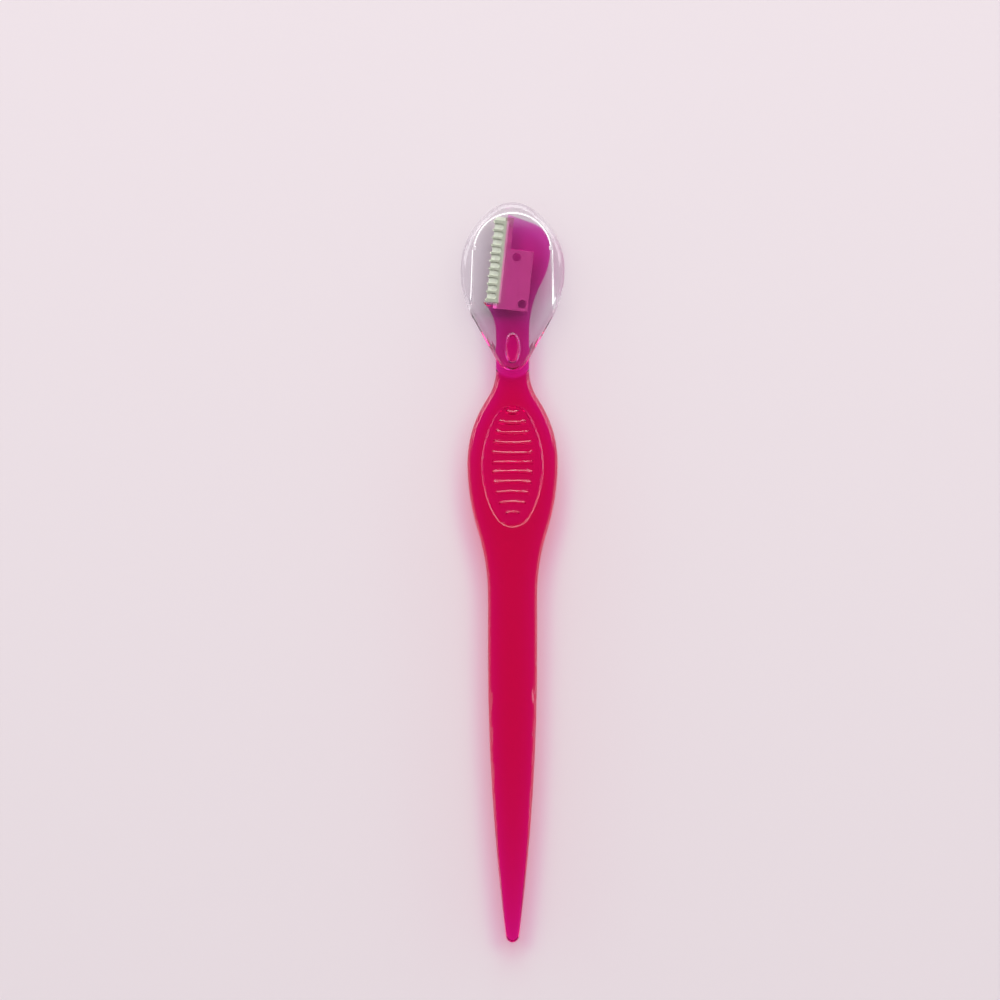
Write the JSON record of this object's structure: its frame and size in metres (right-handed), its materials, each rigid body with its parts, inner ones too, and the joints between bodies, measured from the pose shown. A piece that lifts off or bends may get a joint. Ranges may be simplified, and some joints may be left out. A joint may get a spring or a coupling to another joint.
{
  "type": "eyebrow razor",
  "caption": "Slim eyebrow razor: a flat translucent handle with ribbed thumb pads, a short blade under a folded comb guard at its head, and a clear cap that slides on over the head.",
  "frame": {"origin": "centre of the whole razor's box, with its cap on, at the back face that it lies on", "axes": "+Y along the razor towards its head and cap, +Z out of the front face, +X to the right seen from the front, so the blade is on -X"},
  "size_m": [0.0198, 0.1402, 0.005],
  "materials": {
    "tinted_plastic": "glossy moulded, see-through magenta",
    "blade_steel": "ground",
    "guard_steel": "rolled sheet",
    "clear_plastic": "glossy moulded, clear"
  },
  "bodies": {
    "razor": {"handle": "tinted_plastic", "blade": "blade_steel", "guard": "guard_steel"},
    "cover": {"cap": "clear_plastic"}
  },
  "joints": [
    {"name": "cap_slide", "type": "slide", "parent": "razor", "child": "cover", "axis": [0, 1, 0], "range_m": [0, 0.036]}
  ]
}
